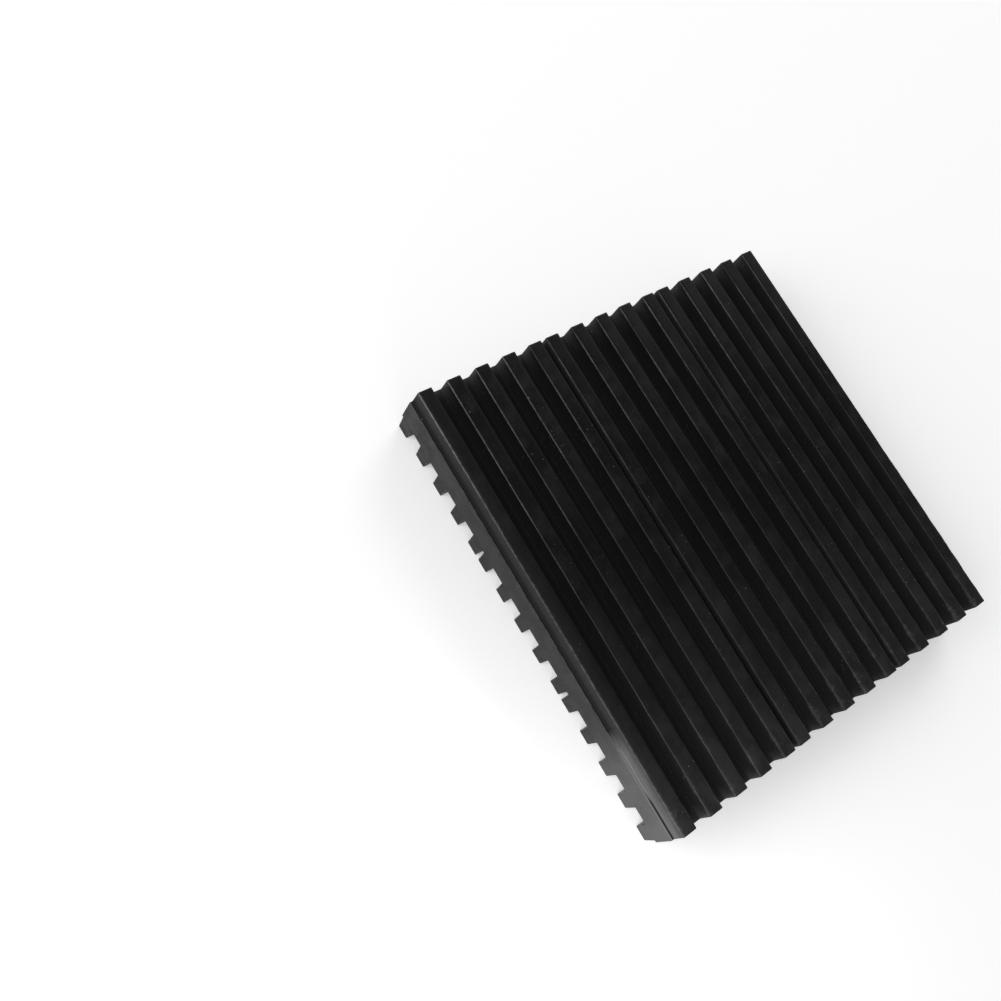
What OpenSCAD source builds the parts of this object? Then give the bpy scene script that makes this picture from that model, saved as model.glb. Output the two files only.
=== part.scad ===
// Ribbed anti-vibration pad, moulded in one piece from solid rubber. Parallel ribs run along X on the
// top face and along Y on the bottom face, with a solid web between the two sets.
// The pad is cut from a moulded sheet of square blocks. A slit parts each block from the next, and the
// pad's edges run down the middle of such a slit, which leaves a narrow ledge outside the edge ribs.
// The origin is at the middle of the bottom crests, with +Z up. Sizes are in millimetres.

/* [Sheet] */
// Side of one square block of the moulded sheet
block_len = 50.8; // [45:0.1:70]
// Blocks along each side of the pad
blocks = 3; // [1:1:6]
// Ribs across one block
ribs_per_block = 5; // [3:1:6]
// Thickness of the solid web between the top and bottom ribs
web_t = 10; // [6:0.1:16]

/* [Top ribs] */
// Width of a top rib at its crest
top_rib_w = 5.1; // [3:0.1:5.3]
// Height of a top rib above the web
top_rib_h = 5.8; // [3:0.1:8]
// Width, at its root, of the slit between two blocks of top ribs
top_slit_w = 1.6; // [0.5:0.1:3]

/* [Bottom ribs] */
// Width of a bottom rib at its crest
bottom_rib_w = 4.9; // [3:0.1:5.2]
// Height of a bottom rib below the web
bottom_rib_h = 6.4; // [3:0.1:8]
// Width, at its root, of the slit between two blocks of bottom ribs
bottom_slit_w = 1; // [0.5:0.1:3]

/* [Moulding] */
// Lean of the rib walls, in degrees from upright
draft = 3; // [0:0.5:5]
// Radius along the edges of a crest
crest_r = 0.25; // [0.1:0.05:0.8]
// Radius where a rib wall meets the web
root_r = 0.3; // [0.1:0.05:1]

/* [Hidden] */
rubber_black = [0.11, 0.11, 0.11];
// Straight steps in each rounded edge
arc_steps = 4;
// Flat left between the two root radii of a narrow groove
root_flat = 0.1;
pad_len = blocks * block_len;
pad_half = pad_len / 2;
last_rib = ribs_per_block - 1;

// Width of a rib where its drafted walls meet the web
function base_w(crest_w, h) = crest_w + 2 * h * tan(draft);

// Distance between neighbouring ribs of one block
function rib_pitch(crest_w, h, slit_w) = (block_len - slit_w - base_w(crest_w, h)) / last_rib;

// Root radius for a groove that is gap wide at its root
function fillet_r(gap) = min(root_r, gap / 2 - root_flat);

function arc(centre, r, from, to) =
    [for (i = [0 : arc_steps]) let (a = from + (to - from) * i / arc_steps) centre + r * [cos(a), sin(a)]];

// Right-hand side of a rib from crest to web: crest radius, drafted wall, root radius
function flank(crest_w, h, fillet) =
    let (crest_x = crest_w / 2 - crest_r * (1 - sin(draft)) / cos(draft))
    let (root_x = crest_w / 2 + (fillet + (h - fillet) * sin(draft)) / cos(draft))
    concat(
        arc([crest_x, h - crest_r], crest_r, 90, draft),
        arc([root_x, fillet], fillet, 180 + draft, 270)
    );

function mirrored(points) = [for (i = [len(points) - 1 : -1 : 0]) [-points[i].x, points[i].y]];

// Outline of one rib about x, from its left root to its right root
function rib(x, crest_w, h, left_fillet, right_fillet) =
    let (left = mirrored(flank(crest_w, h, left_fillet)))
    [for (p = concat(left, flank(crest_w, h, right_fillet))) p + [x, 0]];

// Section of one set of ribs on its half of the web, with the web's face at height 0
function rib_section(crest_w, h, slit_w) =
    let (pitch = rib_pitch(crest_w, h, slit_w))
    let (groove_fillet = fillet_r(pitch - base_w(crest_w, h)))
    let (slit_fillet = fillet_r(slit_w))
    let (first_x = (slit_w + base_w(crest_w, h)) / 2 - pad_half)
    concat(
        [[-pad_half, -web_t / 2], [-pad_half, 0]],
        [for (b = [0 : blocks - 1], i = [0 : last_rib]) each rib(
            first_x + b * block_len + i * pitch,
            crest_w,
            h,
            i == 0 ? slit_fillet : groove_fillet,
            i == last_rib ? slit_fillet : groove_fillet
        )],
        [[pad_half, 0], [pad_half, -web_t / 2]]
    );

// One set of ribs on its half of the web, with the ribs along Y
module ribbed_half(crest_w, h, slit_w) {
    translate([0, 0, web_t / 2])
        rotate([90, 0, 0])
            linear_extrude(height = pad_len, center = true)
                polygon(rib_section(crest_w, h, slit_w));
}

module ribbed_pad() {
    color(rubber_black)
        translate([0, 0, bottom_rib_h + web_t / 2]) {
            rotate([0, 0, 90]) ribbed_half(top_rib_w, top_rib_h, top_slit_w);
            rotate([180, 0, 0]) ribbed_half(bottom_rib_w, bottom_rib_h, bottom_slit_w);
        }
}

ribbed_pad();
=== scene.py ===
# %% [markdown]
# # A ribbed rubber pad
# This lesson dresses one small machine part: a square anti-vibration pad, moulded from solid black
# rubber, with ribs on both faces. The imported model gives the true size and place, so it is loaded
# first and stays fixed. Its box is kept, because the dressed pad has to stay inside it.

# %% Load the frame
import math

import bmesh
import bpy
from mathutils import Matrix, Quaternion, Vector


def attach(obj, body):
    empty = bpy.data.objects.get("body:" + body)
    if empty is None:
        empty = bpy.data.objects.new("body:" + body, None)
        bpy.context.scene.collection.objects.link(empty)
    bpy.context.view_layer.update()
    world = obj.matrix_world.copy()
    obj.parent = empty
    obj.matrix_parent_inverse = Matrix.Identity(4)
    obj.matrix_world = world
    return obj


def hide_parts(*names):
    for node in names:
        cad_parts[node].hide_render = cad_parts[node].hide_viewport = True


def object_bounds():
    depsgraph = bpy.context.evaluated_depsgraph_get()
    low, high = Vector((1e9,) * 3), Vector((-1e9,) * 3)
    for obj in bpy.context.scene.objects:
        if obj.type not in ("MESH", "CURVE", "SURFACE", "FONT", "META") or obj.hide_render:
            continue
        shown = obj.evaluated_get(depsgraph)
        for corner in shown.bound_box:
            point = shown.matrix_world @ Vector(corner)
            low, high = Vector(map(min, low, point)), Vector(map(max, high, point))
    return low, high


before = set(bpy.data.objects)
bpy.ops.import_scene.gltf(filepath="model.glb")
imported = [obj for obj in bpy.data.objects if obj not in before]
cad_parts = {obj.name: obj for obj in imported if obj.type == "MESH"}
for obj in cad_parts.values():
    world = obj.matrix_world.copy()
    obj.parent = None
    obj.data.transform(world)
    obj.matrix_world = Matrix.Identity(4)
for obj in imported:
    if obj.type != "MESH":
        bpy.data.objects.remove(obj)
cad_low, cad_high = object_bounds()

MM = 0.001
pad_len = cad_high.x - cad_low.x
pad_half = pad_len / 2
pad_t = cad_high.z - cad_low.z
print(f"pad: {pad_len / MM:.1f} mm square, {pad_t / MM:.1f} mm thick")

# %% [markdown]
# ## The camera
# The photo was taken with a hand-held camera from close by, looking down across the ribs. A camera is
# easiest to read as a place, a point that it looks at and a roll about that line. The roll is large,
# because in the picture the pad stands on one corner, while here it lies flat on the floor. From here on,
# far and near are the ends of the top ribs at -X and +X, and left and right are the sides at -Y and +Y.

# %% Camera
CAMERA_PLACE = Vector((5.5, -206.4, 286.5)) * MM
CAMERA_AIM = Vector((-34.8, -69.8, 22.2)) * MM
CAMERA_ROLL = math.radians(44.4)
CAMERA_LENS = 35.65
CLIP_START = 10 * MM

camera_data = bpy.data.cameras.new("camera")
camera_data.lens = CAMERA_LENS
camera_data.clip_start = CLIP_START
camera = bpy.data.objects.new("camera", camera_data)
bpy.context.scene.collection.objects.link(camera)
look = (CAMERA_AIM - CAMERA_PLACE).to_track_quat("-Z", "Y")
camera.rotation_mode = "QUATERNION"
camera.rotation_quaternion = look @ Quaternion((0, 0, 1), CAMERA_ROLL)
camera.location = CAMERA_PLACE
bpy.context.scene.camera = camera
print(f"camera: {(CAMERA_AIM - CAMERA_PLACE).length / MM:.0f} mm from its aim")

# %% [markdown]
# ## Building node trees in code
# The walls, the floor, the ribs and the rubber are all node trees. They could be drawn by hand in the node
# editors, but code keeps every value in sight. A few small helpers make it readable: each adds one kind
# of node, or a short chain of them, and hands back the result. An input may be a plain value or the
# output of another node.

# %% Node helpers
def plug(tree, value, socket):
    """Sets a socket to a value, or links it to another node's output."""
    if isinstance(value, bpy.types.NodeSocket):
        tree.links.new(value, socket)
    else:
        socket.default_value = value


def add_node(tree, kind, inputs=None, **settings):
    """Adds a node. inputs maps a socket's name or number to a value or an output."""
    made = tree.nodes.new(kind)
    for name, value in settings.items():
        setattr(made, name, value)
    for key, value in (inputs or {}).items():
        plug(tree, value, made.inputs[key])
    return made


def maths(tree, operation, *values):
    """One Math node's result."""
    return add_node(tree, "ShaderNodeMath", dict(enumerate(values)), operation=operation).outputs[0]


def product(tree, first, *others):
    """Values multiplied together, in this order."""
    for other in others:
        first = maths(tree, "MULTIPLY", first, other)
    return first


def minus(tree, first, second):
    """The first value less the second."""
    return maths(tree, "SUBTRACT", first, second)


def without(tree, mask):
    """1 where a mask is 0, and 0 where it is 1."""
    return minus(tree, 1.0, mask)


def ranged(tree, value, low, high, to_low=0.0, to_high=1.0, blend="LINEAR"):
    """A value moved from one range to another and held there."""
    inputs = {"Value": value, 1: low, 2: high, 3: to_low, 4: to_high}
    return add_node(tree, "ShaderNodeMapRange", inputs, interpolation_type=blend).outputs[0]


print("helpers: plug, add_node, maths, product, minus, without, ranged")


# %% Helpers for colours, vectors and noise
# Spans of a noise that a mask is made from. The narrower the span, the harder the mask's edges.
WIDE = (0.3, 0.7)
MIDDLE = (0.35, 0.65)
NARROW = (0.4, 0.6)


def mixed(tree, factor, first, second):
    """Two colours mixed by a factor."""
    made = add_node(tree, "ShaderNodeMix", {0: factor, 6: first, 7: second}, data_type="RGBA")
    return made.outputs[2]


def vector(tree, x, y, z):
    """A vector from its three parts."""
    return add_node(tree, "ShaderNodeCombineXYZ", {0: x, 1: y, 2: z}).outputs[0]


def split(tree, value):
    """The three parts of a vector, named X, Y and Z."""
    return add_node(tree, "ShaderNodeSeparateXYZ", {0: value}).outputs


def noise(tree, place, scale=1.0, detail=2.0, roughness=0.5):
    """A noise texture's value, about 0.5 on average."""
    inputs = {"Vector": place, "Scale": scale, "Detail": detail, "Roughness": roughness}
    return add_node(tree, "ShaderNodeTexNoise", inputs).outputs[0]


print("helpers: mixed, vector, split, noise")

# %% [markdown]
# ## Walls of light
# Product photos of black rubber are lit from the sides: a light straight above would turn the ribs grey.
# A picture of a studio could light the scene, but a few plain colours are enough. The world is pale at the
# horizon, as white walls are, more so past the far ends of the ribs, and dark overhead. Light Path shows
# the walls white to the camera and in reflections, and leaves the light that they throw as it is.

# %% World
FAR_WALL = (1.0, 1.01, 1.03, 1)
NEAR_WALL = (0.6, 0.605, 0.62, 1)
OVERHEAD = (0.24, 0.24, 0.246, 1)
WHITE = (1, 1, 1, 1)
WALL_BLEND = 0.7
HORIZON_TOP = 0.12
OVERHEAD_FROM = 0.62


def shown_to(tree):
    """1 for a ray that shows a surface to the camera, also by reflection, and 0 for one that lights."""
    rays = add_node(tree, "ShaderNodeLightPath").outputs
    seen = maths(tree, "MAXIMUM", rays["Is Camera Ray"], rays["Is Glossy Ray"])
    return maths(tree, "MAXIMUM", seen, rays["Is Transmission Ray"])


world = bpy.data.worlds.new("studio")
world.use_nodes = True
bpy.context.scene.world = world
sky = world.node_tree
heading = split(sky, add_node(sky, "ShaderNodeTexCoord").outputs["Generated"])
walls = mixed(sky, ranged(sky, heading["X"], -WALL_BLEND, WALL_BLEND), FAR_WALL, NEAR_WALL)
walls = mixed(sky, shown_to(sky), walls, WHITE)
overhead = ranged(sky, heading["Z"], HORIZON_TOP, OVERHEAD_FROM, blend="SMOOTHSTEP")
plug(sky, mixed(sky, overhead, walls, OVERHEAD), sky.nodes["Background"].inputs["Color"])
print("world: pale to", HORIZON_TOP, "up, dark from", OVERHEAD_FROM)

# %% [markdown]
# ## Floor
# The pad lies on a plain pale floor that reaches well past the picture. A Diffuse shader catches the pad's
# shadow, and a little Emission, shown by the same Light Path test, lifts the floor towards white: slightly
# beside the pad, and more where it meets the walls. It adds no light to the pad.

# %% Floor paint
FLOOR_WHITE = (0.88, 0.88, 0.88, 1)
FLOOR_LIFT = 0.34
FAR_LIFT = 0.75
FAR_FROM = 0.5
FAR_TO = 2.5

floor_paint = bpy.data.materials.new("floor paint")
floor_paint.use_nodes = True
paint = floor_paint.node_tree
paint.nodes.remove(paint.nodes["Principled BSDF"])
lit = add_node(paint, "ShaderNodeBsdfDiffuse", {"Color": FLOOR_WHITE}).outputs[0]
on_floor = add_node(paint, "ShaderNodeTexCoord").outputs["Object"]
from_pad = add_node(paint, "ShaderNodeVectorMath", {0: on_floor}, operation="LENGTH").outputs["Value"]
lift = ranged(paint, from_pad, FAR_FROM, FAR_TO, FLOOR_LIFT, FAR_LIFT)
lift = product(paint, shown_to(paint), lift)
white = add_node(paint, "ShaderNodeEmission", {"Color": WHITE, "Strength": lift}).outputs[0]
shown = add_node(paint, "ShaderNodeAddShader", {0: lit, 1: white})
plug(paint, shown.outputs[0], paint.nodes["Material Output"].inputs["Surface"])
print("floor paint:", len(paint.nodes), "nodes")

# %% Floor
FLOOR_SIZE = 24.0
FLOOR_GAP = 0.05 * MM

floor_mesh = bpy.data.meshes.new("floor")
corner = FLOOR_SIZE / 2
floor_z = cad_low.z - FLOOR_GAP
floor_corners = [(x * corner, y * corner, floor_z) for x, y in ((-1, -1), (1, -1), (1, 1), (-1, 1))]
floor_mesh.from_pydata(floor_corners, [], [(0, 1, 2, 3)])
floor_mesh.materials.append(floor_paint)
floor = bpy.data.objects.new("floor", floor_mesh)
bpy.context.scene.collection.objects.link(floor)
print(f"floor: {FLOOR_SIZE:.0f} m square at {floor_z / MM:.1f} mm")

# %% [markdown]
# ## Lamps
# Three soft boxes shape the pad: a key box past its far right corner, so that crest edges catch the light
# and grooves fall into shade, a large box on the left for the cut side, and a small card at the near left
# corner, where the cut side also has painted light. Area lights suit this, because their size sets how soft
# the light is.


# %% Soft boxes
def soft_box(name, place, aim, width, height, watts):
    """A rectangular area light at place that faces aim, all in metres."""
    data = bpy.data.lights.new(name, "AREA")
    data.shape = "RECTANGLE"
    data.size = width
    data.size_y = height
    data.energy = watts
    towards = Vector(aim) - Vector(place)
    lamp = bpy.data.objects.new(name, data)
    lamp.location = place
    lamp.rotation_euler = towards.to_track_quat("-Z", "Y").to_euler()
    bpy.context.scene.collection.objects.link(lamp)
    print(f"{name}: {watts} W, {towards.length:.2f} m away")


PAD_MIDDLE = (0, 0, 0)
NEAR_LEFT_CORNER = (0.07, -0.076, 0.011)

soft_box("key box", place=(-1.0, 1.2, 1.0), aim=PAD_MIDDLE, width=1.0, height=0.8, watts=8)
soft_box("side box", place=(-0.5, -1.6, 0.95), aim=PAD_MIDDLE, width=1.5, height=1.5, watts=25)
soft_box("corner card", place=(0.11, -0.16, 0.04), aim=NEAR_LEFT_CORNER, width=0.08, height=0.05, watts=0.07)

# %% [markdown]
# ## One ribbed face
# Each face of the pad has fifteen ribs in three blocks of five. Between two blocks the groove narrows
# to a slit, and the pad's edges run down the middle of such a slit. All ribs share one section, so this
# is a job for Geometry Nodes: number the points of the section, work out each place from its number,
# round the corners with Fillet Curve, and lay a grid on it with one row for each step along the ribs.
# A sweep with Curve to Mesh would give the same form, but a grid knows its rows, which makes it easy to
# soften the cut ends and to let each rib wander a little, as soft rubber does.

# %% Rib sizes
BLOCKS = 3
TOP_RIB_H = 5.8 * MM
BOTTOM_RIB_H = 6.4 * MM
BOTH_FACES = {
    "Blocks": BLOCKS,
    "Ribs per Block": 5,
    "Block Length": pad_len / BLOCKS,
    "Draft": math.radians(3),
    "Crest Radius": 0.25 * MM,
    "Root Radius": 0.3 * MM,
    "Cut Chamfer": 0.2 * MM,
    "Worn Reach": 1.1 * MM,
    "Worn Depth": 0.06 * MM,
    "Sway": 0.6 * MM,
    "Ripple": 0.9 * MM,
}
TOP_FACE = {
    "Crest Width": 5.1 * MM,
    "Rib Height": TOP_RIB_H,
    "Slit Width": 1.6 * MM,
    "Shaved Length": 36 * MM,
    "Rows": 150,
    "Seed": 1.0,
}
BOTTOM_FACE = {
    "Crest Width": 4.9 * MM,
    "Rib Height": BOTTOM_RIB_H,
    "Slit Width": 1.0 * MM,
    "Shaved Length": 20 * MM,
    "Rows": 96,
    "Seed": 7.0,
}

web_t = pad_t - TOP_RIB_H - BOTTOM_RIB_H
print(f"web between the ribs: {web_t / MM:.1f} mm")


# %% New node groups
def new_group(name, kind, inputs, outputs):
    """A node group with named sockets. Returns the tree and its group input's and output's sockets."""
    tree = bpy.data.node_groups.new(name, kind)
    for direction, sockets in (("INPUT", inputs), ("OUTPUT", outputs)):
        for label, value_type in sockets.items():
            tree.interface.new_socket(label, in_out=direction, socket_type="NodeSocket" + value_type)
    taken = tree.nodes.new("NodeGroupInput").outputs
    given = tree.nodes.new("NodeGroupOutput").inputs
    return tree, taken, given


GEOMETRY_OUT = {"Geometry": "Geometry"}

face_inputs = {
    name: "Int" if isinstance(value, int) else "Float" for name, value in {**BOTH_FACES, **TOP_FACE}.items()
}
ribs, size, face_out = new_group("Ribbed face", "GeometryNodeTree", face_inputs, GEOMETRY_OUT)
print("ribbed face:", len(face_inputs), "inputs")


# %% Choosing between values
def chosen(tree, index, values):
    """The value whose number is index."""
    made = tree.nodes.new("GeometryNodeIndexSwitch")
    made.data_type = "FLOAT"
    while len(made.index_switch_items) < len(values):
        made.index_switch_items.new()
    plug(tree, index, made.inputs["Index"])
    for number, value in enumerate(values):
        plug(tree, value, made.inputs[number + 1])
    return made.outputs[0]


def either(tree, test, if_false, if_true):
    """One of two numbers."""
    inputs = {0: test, 1: if_false, 2: if_true}
    return add_node(tree, "GeometryNodeSwitch", inputs, input_type="FLOAT").outputs[0]


print("helpers: chosen, either")

# %% [markdown]
# ### The section of the ribs
# A rib narrows a little towards its crest, so that it leaves the mould. Its half width at the crest and at
# its base follow from its size and that draft. The ribs of one block are spread evenly, which leaves the
# width of a slit between one block and the next.

# %% Widths and pitch
rib_count = product(ribs, size["Blocks"], size["Ribs per Block"])
face_half = product(ribs, size["Blocks"], size["Block Length"], 0.5)
lean = maths(ribs, "TANGENT", size["Draft"])
crest_half = product(ribs, size["Crest Width"], 0.5)
base_half = maths(ribs, "MULTIPLY_ADD", size["Rib Height"], lean, crest_half)
rib_and_slit = maths(ribs, "MULTIPLY_ADD", base_half, 2.0, size["Slit Width"])
last_in_block = minus(ribs, size["Ribs per Block"], 1.0)
pitch = minus(ribs, size["Block Length"], rib_and_slit)
pitch = maths(ribs, "DIVIDE", pitch, last_in_block)
groove = minus(ribs, pitch, product(ribs, base_half, 2.0))
print("widths and pitch:", len(ribs.nodes), "nodes so far")

# %% [markdown]
# Every rib has eight numbered points: root, wall, corner and top on its left, and the same back down its
# right. The wall and top points only bound the strip that wears. The number of a point gives its rib, its
# step from the root and its side. Two more points at each end of the section stand for the pad's cut edge.

# %% Numbers of the points
POINTS_PER_RIB = 8.0
END_POINTS = 2.0

point_count = maths(ribs, "MULTIPLY_ADD", rib_count, POINTS_PER_RIB, 2 * END_POINTS)
point = add_node(ribs, "GeometryNodeInputIndex").outputs[0]
numbered = minus(ribs, point, END_POINTS)
last_rib = minus(ribs, rib_count, 1.0)
rib = maths(ribs, "FLOOR", maths(ribs, "DIVIDE", numbered, POINTS_PER_RIB))
rib = maths(ribs, "MINIMUM", maths(ribs, "MAXIMUM", rib, 0.0), last_rib)
block = maths(ribs, "FLOOR", maths(ribs, "DIVIDE", rib, size["Ribs per Block"]))
rib_in_block = minus(ribs, rib, product(ribs, block, size["Ribs per Block"]))
rib_centre = minus(ribs, product(ribs, rib_and_slit, 0.5), face_half)
rib_centre = maths(ribs, "MULTIPLY_ADD", block, size["Block Length"], rib_centre)
rib_centre = maths(ribs, "MULTIPLY_ADD", rib_in_block, pitch, rib_centre)

rib_middle = (POINTS_PER_RIB - 1) / 2
from_middle = maths(ribs, "FLOORED_MODULO", numbered, POINTS_PER_RIB)
from_middle = minus(ribs, from_middle, rib_middle)
side = maths(ribs, "SIGN", from_middle)
step = minus(ribs, rib_middle, maths(ribs, "ABSOLUTE", from_middle))
print("section:", int(POINTS_PER_RIB), "points to a rib and", int(END_POINTS), "more at each end")

# %% [markdown]
# Each step from the root has its own half width, rise and radius. A root beside a slit gets a smaller
# radius where the slit is too narrow for the usual one, so that a little flat is left between the two.

# %% Steps of one rib
ROOT_FLAT = 0.1 * MM
SAME_NUMBER = 0.1

wall_half = maths(ribs, "MULTIPLY_ADD", size["Worn Reach"], lean, crest_half)
top_half = minus(ribs, crest_half, size["Worn Reach"])
wall_rise = minus(ribs, size["Rib Height"], size["Worn Reach"])
step_half = chosen(ribs, step, [base_half, wall_half, crest_half, top_half])
step_rise = chosen(ribs, step, [0.0, wall_rise, size["Rib Height"], size["Rib Height"]])

outer_rib = either(ribs, maths(ribs, "GREATER_THAN", from_middle, 0.0), 0.0, last_in_block)
beside_slit = maths(ribs, "COMPARE", rib_in_block, outer_rib, SAME_NUMBER)
gap = either(ribs, beside_slit, groove, size["Slit Width"])
root_radius = minus(ribs, product(ribs, gap, 0.5), ROOT_FLAT)
root_radius = maths(ribs, "MINIMUM", root_radius, size["Root Radius"])
step_radius = chosen(ribs, step, [root_radius, 0.0, size["Crest Radius"], 0.0])
print("steps of one rib: root, wall, corner, top")

# %% Rounded section
FILLET_STEPS = 3
HALF_STEP = 0.5

last_point = minus(ribs, point_count, 1.0)
from_end = maths(ribs, "MINIMUM", point, minus(ribs, last_point, point))
at_end = maths(ribs, "LESS_THAN", from_end, END_POINTS - HALF_STEP)
end_side = maths(ribs, "SIGN", minus(ribs, point, product(ribs, last_point, 0.5)))
end_across = minus(ribs, face_half, product(ribs, size["Cut Chamfer"], from_end))
end_across = product(ribs, end_side, end_across)
end_rise = product(ribs, size["Cut Chamfer"], minus(ribs, from_end, 1.0))
across = maths(ribs, "MULTIPLY_ADD", side, step_half, rib_centre)
across = either(ribs, at_end, across, end_across)
rise = either(ribs, at_end, step_rise, end_rise)
radius = either(ribs, at_end, step_radius, 0.0)

line = add_node(ribs, "GeometryNodeCurvePrimitiveLine").outputs[0]
line = add_node(ribs, "GeometryNodeResampleCurve", {"Curve": line, "Count": point_count}).outputs[0]
placing = {"Geometry": line, "Position": vector(ribs, across, rise, 0.0)}
section = add_node(ribs, "GeometryNodeSetPosition", placing).outputs[0]
keeping = {"Geometry": section, "Name": "rib_centre", "Value": rib_centre}
section = add_node(ribs, "GeometryNodeStoreNamedAttribute", keeping, data_type="FLOAT", domain="POINT")
rounding = {"Curve": section.outputs[0], "Radius": radius, "Limit Radius": True, "Count": FILLET_STEPS}
section = add_node(ribs, "GeometryNodeFilletCurve", rounding, mode="POLY").outputs[0]
print("section: four points of a rib rounded in", FILLET_STEPS, "steps")

# %% [markdown]
# ### A grid on the section
# The grid has one column for each point of the rounded section. Sample Index reads that point's place and
# the middle of its rib, and the number of the row gives the place along the ribs. The last two rows at
# each end stand close together, so that the cut edge there stays crisp.


# %% Columns and rows
def from_section(value, kind):
    """A value of the section's point that has this column's number."""
    inputs = {"Geometry": section, "Value": value, "Index": column}
    return add_node(ribs, "GeometryNodeSampleIndex", inputs, data_type=kind, domain="POINT").outputs[0]


counted = add_node(ribs, "GeometryNodeAttributeDomainSize", {0: section}, component="CURVE")
columns = counted.outputs["Point Count"]
grid = add_node(ribs, "GeometryNodeMeshGrid", {"Vertices X": size["Rows"], "Vertices Y": columns}).outputs[0]
number = add_node(ribs, "GeometryNodeInputIndex").outputs[0]
row = maths(ribs, "FLOOR", maths(ribs, "DIVIDE", maths(ribs, "ADD", number, HALF_STEP), columns))
column = minus(ribs, number, product(ribs, row, columns))
place = add_node(ribs, "GeometryNodeInputPosition").outputs[0]
sampled = split(ribs, from_section(place, "FLOAT_VECTOR"))
stored = add_node(ribs, "GeometryNodeInputNamedAttribute", {"Name": "rib_centre"}, data_type="FLOAT")
centre = from_section(stored.outputs[0], "FLOAT")
print("grid:", TOP_FACE["Rows"], "rows on top,", BOTTOM_FACE["Rows"], "below")

# %% Places along the ribs
END_ROWS = 2.0
END_ROW_STEPS = 2.5

last_row = minus(ribs, size["Rows"], 1.0)
row_from_end = maths(ribs, "MINIMUM", row, minus(ribs, last_row, row))
row_side = maths(ribs, "SIGN", minus(ribs, row, product(ribs, last_row, 0.5)))
end_along = minus(ribs, face_half, product(ribs, size["Cut Chamfer"], row_from_end))
plain_half = product(ribs, size["Cut Chamfer"], END_ROW_STEPS)
plain_half = minus(ribs, face_half, plain_half)
plain_rows = minus(ribs, last_row, 2 * END_ROWS)
plain_share = maths(ribs, "DIVIDE", minus(ribs, row, END_ROWS), plain_rows)
plain_along = product(ribs, plain_half, maths(ribs, "MULTIPLY_ADD", plain_share, 2.0, -1.0))
in_end_rows = maths(ribs, "LESS_THAN", row_from_end, END_ROWS - HALF_STEP)
along = either(ribs, in_end_rows, plain_along, product(ribs, row_side, end_along))

on_section = vector(ribs, along, sampled["X"], sampled["Y"])
sheet = add_node(ribs, "GeometryNodeSetPosition", {"Geometry": grid, "Position": on_section}).outputs[0]
print("grid on the section:", len(ribs.nodes), "nodes so far")

# %% [markdown]
# ### Wear and wander
# Hands and knives reach the near ends of the ribs first, so noise wears the crest corners down there, a
# little less on the right corner of each crest. Soft rubber isn't quite straight either: a slow noise sways
# each rib and a quick one ripples its crest edges, both more towards the near end. Sculpting could do this
# too, but noise makes each rib differ with no work by hand.

# %% Wear of the crest corners
WEAR_LENGTH = 6 * MM
LEAST_WEAR = 0.3
WORN_END = 34 * MM
RIGHT_CORNER_SHIFT = 0.5 * MM
RIGHT_EDGE_REACH = 1.4 * MM
RIB_SPREAD = 900.0
WEAR_LAYER = 5.0

from_centre = minus(ribs, sampled["X"], centre)
rib_side = maths(ribs, "SIGN", from_centre)
inside_corner = minus(ribs, crest_half, maths(ribs, "ABSOLUTE", from_centre))
below_crest = minus(ribs, size["Rib Height"], sampled["Y"])
edge_distance = maths(ribs, "MAXIMUM", inside_corner, below_crest)
# The shift on the right corner also keeps the finish's painted highlight and pale wear off that corner,
# which faces away from the light.
right_corner_shift = product(ribs, maths(ribs, "GREATER_THAN", rib_side, 0.0), RIGHT_CORNER_SHIFT)
edge_distance = maths(ribs, "ADD", edge_distance, right_corner_shift)
at_corner = ranged(ribs, edge_distance, 0.0, size["Worn Reach"], 1.0, 0.0)
# This marks the right part of each crest top, which the finish paints with shade.
crest_right_edge = ranged(ribs, from_centre, minus(ribs, crest_half, RIGHT_EDGE_REACH), crest_half)

rib_seed = maths(ribs, "MULTIPLY_ADD", centre, RIB_SPREAD, size["Seed"])
wear_along = maths(ribs, "DIVIDE", along, WEAR_LENGTH)
wear_place = vector(ribs, wear_along, rib_seed, product(ribs, rib_side, WEAR_LAYER))
patchy = noise(ribs, wear_place, detail=3.0, roughness=0.55)
patchy = ranged(ribs, patchy, *MIDDLE, LEAST_WEAR, 1.0)
at_near_end = ranged(ribs, along, minus(ribs, face_half, WORN_END), face_half)
wear = product(ribs, at_near_end, patchy)
worn = product(ribs, wear, at_corner, size["Worn Depth"])
worn_across = product(ribs, worn, rib_side, -1.0)
print(f"wear: within {WORN_END / MM:.0f} mm of the near ends")

# %% Sway and ripple
NOISE_MEAN = 0.5
SWAY_LENGTH = 32 * MM
SWAY_LAYER = 31.0
SWAY_GROWTH = (0.4, 1.0)
RIPPLE_LENGTH = 5 * MM
RIPPLE_LAYER = 9.0
RIPPLE_RISE = 3.0
RIPPLE_FROM = -20 * MM
RIPPLE_GROWTH = (0.1, 1.0)
RIPPLE_SIDES = (0.4, 1.0)

height_share = ranged(ribs, sampled["Y"], 0.0, size["Rib Height"])
sway_place = vector(ribs, maths(ribs, "DIVIDE", along, SWAY_LENGTH), rib_seed, SWAY_LAYER)
sway = minus(ribs, noise(ribs, sway_place, detail=3.0, roughness=0.6), NOISE_MEAN)
sway_growth = ranged(ribs, along, 0.0, face_half, *SWAY_GROWTH)
sway = product(ribs, sway, size["Sway"], height_share, sway_growth)

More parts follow.
